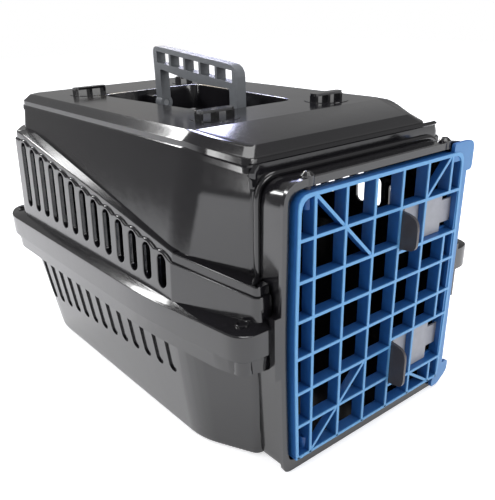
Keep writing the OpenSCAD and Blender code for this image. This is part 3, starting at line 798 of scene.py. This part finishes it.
pivot_front = block("pivot_block_front", (-8, 136.5, 210), (8, 155, 231), 1.2)
pivot_rear = block("pivot_block_rear", (-8, 281, 210), (8, 299, 231), 1.2)
bottom_rail = block("door_bottom_rail", (-84, 0, 11.5), (84, 10, 13.9), 0.45, body="door")
print("blocks:", pivot_front.name, pivot_rear.name, bottom_rail.name)

# %% [markdown]
# ## Bead round the neck
# Where the body meets the neck, a rounded bead runs up one side, over the top and down the other.
# A curve with a bevel depth would make it too, but would have to be turned into a mesh before it
# is placed. The same circle carried along the neck's outline is a grid of two lines of
# arithmetic.

# %% Neck bead
BEAD_RADIUS = 2.3
BEAD_Y = 30
BEAD_STATIONS = 120


def swept(path, radius, turns=12):
    """Points p + r (cos a n + sin a y), for a path p in a plane of constant y with normal n."""
    run = np.gradient(path, axis=0)
    run /= np.linalg.norm(run, axis=1)[:, None]
    out = np.column_stack([run[:, 2], np.zeros(len(path)), -run[:, 0]])
    around = np.linspace(0, 2 * np.pi, turns, endpoint=False)
    circle = np.cos(around)[:, None, None] * out + np.sin(around)[:, None, None] * np.array([0, 1, 0])
    return np.swapaxes(path[None] + radius * circle, 0, 1)


def neck_bead():
    """The neck's front outline, from the right foot over the top to the left one, as a round bead."""
    front = rounded([[91.6, 131], [92, 150], [91, 213.3], [-91, 213.3], [-92, 150], [-91.6, 131]],
                    [0, 10, 15, 15, 10, 0], closed=False)
    front = resampled(front, BEAD_STATIONS, closed=False)
    path = np.column_stack([front[:, 0], np.full(len(front), BEAD_Y), front[:, 1]])
    return swept(path, BEAD_RADIUS), True


bead = skinned("neck_bead", [neck_bead()])

# %% [markdown]
# ## Finishes
# The carrier is polypropylene and ABS from polished tools. What tells these from paint is that
# they are never quite even: a large thin wall is faintly wavy where it cooled, and handling
# leaves the gloss and the tone slightly cloudy. One function gives every plastic these two marks,
# the wave as bump and the cloud in roughness and colour, and each finish then has its own colour,
# gloss and depth.

# %% Plastics
WAVE_SIZE = 22
CLOUD_SIZE = 5
# Depth of the painted highlight on the door's front faces, in millimetres from its front.
PAINTED_HIGHLIGHT_END, PAINTED_HIGHLIGHT_START = 0.4, 1.2


def toned(code, factor):
    """The linear colour of a code, made darker or lighter by a factor."""
    return [min(1, c * factor) for c in linear(code)[:3]] + [1]


def plastic(name, colour, roughness, wave=0.05, ior=None, painted_highlight_colour=None):
    """Wavy, slightly cloudy plastic; a front colour, where given, is a painted highlight on the faces
    nearest the front.
    """
    material = bpy.data.materials.new(name)
    material.use_nodes = True
    tree = material.node_tree
    tree.nodes.clear()
    place = add(tree, "TexCoord").outputs["Object"]
    ripple = add(tree, "TexNoise", {}, Vector=place, Scale=1 / (WAVE_SIZE * MM), Detail=3.0)
    bump = add(tree, "Bump", {}, Height=ripple.outputs[0], Strength=wave, Distance=1.0 * MM)
    cloud = add(tree, "TexNoise", {}, Vector=place, Scale=1 / (CLOUD_SIZE * MM), Detail=4.0)
    gloss = add(tree, "MapRange", {}, Value=cloud.outputs[0], To_Min=roughness * 0.8,
                To_Max=roughness * 1.2)
    shade = add(tree, "Mix", {"data_type": "RGBA"}, _0=cloud.outputs[0], _6=toned(colour, 0.85),
                _7=toned(colour, 1.15)).outputs[2]
    # Painted highlight: faces within the door's front millimetre are mixed to a paler colour, in place
    # of the light that falls on the ribs' fronts.
    if painted_highlight_colour:
        depth = add(tree, "SeparateXYZ", {}, Vector=place).outputs["Y"]
        front = add(tree, "MapRange", {}, Value=depth, From_Min=(PAINTED_HIGHLIGHT_START - Y_MID) * MM,
                    From_Max=(PAINTED_HIGHLIGHT_END - Y_MID) * MM)
        shade = add(tree, "Mix", {"data_type": "RGBA"}, _0=front.outputs[0], _6=shade,
                    _7=linear(painted_highlight_colour)).outputs[2]
    surface = add(tree, "BsdfPrincipled", {}, Base_Color=shade, Roughness=gloss.outputs[0],
                  Normal=bump.outputs[0])
    if ior:
        surface.inputs["IOR"].default_value = ior
    tree.links.new(surface.outputs[0], add(tree, "OutputMaterial").inputs[0])
    return material


def finish(pieces, material):
    """Give each piece or node one material in place of what it had."""
    for piece in pieces:
        piece.data.materials.clear()
        piece.data.materials.append(material)
    print(material.name, "on", len(pieces), "pieces")


# %% [markdown]
# ## Shell: glossy polypropylene
# Near-black with a mirror-like skin. The base is so dark that nearly all of what is seen is
# reflection. The refractive index is set over the 1.49 of the real plastic, so that the streaks
# of light are as strong as they look on the real one.

# %% Shell finish
shell_plastic = plastic("glossy polypropylene black", "#171619", 0.13, wave=0.1, ior=1.65)
finish([lower_shell, upper_front, belt, rim, cover, bead, wells, caps, pivot_front, pivot_rear]
       + loops, shell_plastic)

# %% [markdown]
# ## Door: blue polypropylene
# The door's ribs are deep, and light falls mostly on their front faces: these read pale, and the
# flanks read deep blue. The pale fronts are a painted highlight: a deep base colour with a paler one
# painted on the front millimetre gives that from all sides.

# %% Door finish
# The paler colour, #66a4d8, is a painted highlight on the ribs' front faces; #2b63a6 is the door's own
# blue.
door_plastic = plastic("polypropylene blue, painted highlight", "#2b63a6", 0.35, painted_highlight_colour="#66a4d8")
finish([door, bottom_rail], door_plastic)

# %% [markdown]
# ## Handle, latches and fixings
# The handle is a satin mid grey and the latch plates a light grey, both ABS with a finely etched
# skin, which is why they are rougher than the shells. The blades and the hinge pins are darker.
# The screws, nuts and handle pins are plated with zinc. The nodes that need no change of shape
# take their finish directly.

# %% Small finishes
handle_plastic = plastic("satin ABS grey", "#6d7074", 0.42)
plate_plastic = plastic("ABS light grey", "#a3a4aa", 0.45)
tab_plastic = plastic("ABS dark", "#4c494b", 0.33)
zinc = plastic("zinc", "#9a9ca0", 0.35)


def nodes_named(*starts):
    """The construction's nodes whose names start with one of the given words."""
    return [node for name, node in frame["nodes"].items() if name.startswith(starts)]


finish([handle], handle_plastic)
finish(nodes_named("latch_plate"), plate_plastic)
finish(tabs + nodes_named("door_pin"), tab_plastic)
finish(nodes_named("rim_", "handle_pin"), zinc)

# %% [markdown]
# ## Floor
# The carrier stands on a plain pale floor that keeps its shadow. A white floor would have to be
# overlit to vanish into the background, so its colour stays pale and it glows a little, but only
# for camera and mirror rays. That adds no light to the object.

# %% Floor
FLOOR_REACH = 4
FLOOR_GLOW = 0.62

floor_mesh = bpy.data.meshes.new("floor")
floor_mesh.from_pydata([(-FLOOR_REACH, -FLOOR_REACH, 0), (FLOOR_REACH, -FLOOR_REACH, 0),
                        (FLOOR_REACH, FLOOR_REACH, 0), (-FLOOR_REACH, FLOOR_REACH, 0)],
                       [], [(0, 1, 2, 3)])
floor = bpy.data.objects.new("floor", floor_mesh)
bpy.context.scene.collection.objects.link(floor)
paint = bpy.data.materials.new("pale studio floor")
paint.use_nodes = True
tree = paint.node_tree
tree.nodes.clear()
matt = add(tree, "BsdfPrincipled", {}, Base_Color=linear("#f4f4f6"), Roughness=0.8)
eye = add(tree, "LightPath")
seen = add(tree, "Math", {"operation": "MAXIMUM"}, _0=eye.outputs["Is Camera Ray"],
           _1=eye.outputs["Is Glossy Ray"])
lift = add(tree, "Math", {"operation": "MULTIPLY"}, _0=seen.outputs[0], _1=FLOOR_GLOW)
glow = add(tree, "Emission", {}, Color=linear("#ffffff"), Strength=lift.outputs[0])
both = add(tree, "AddShader", {}, _0=matt.outputs[0], _1=glow.outputs[0])
tree.links.new(both.outputs[0], add(tree, "OutputMaterial").inputs[0])
floor.data.materials.append(paint)
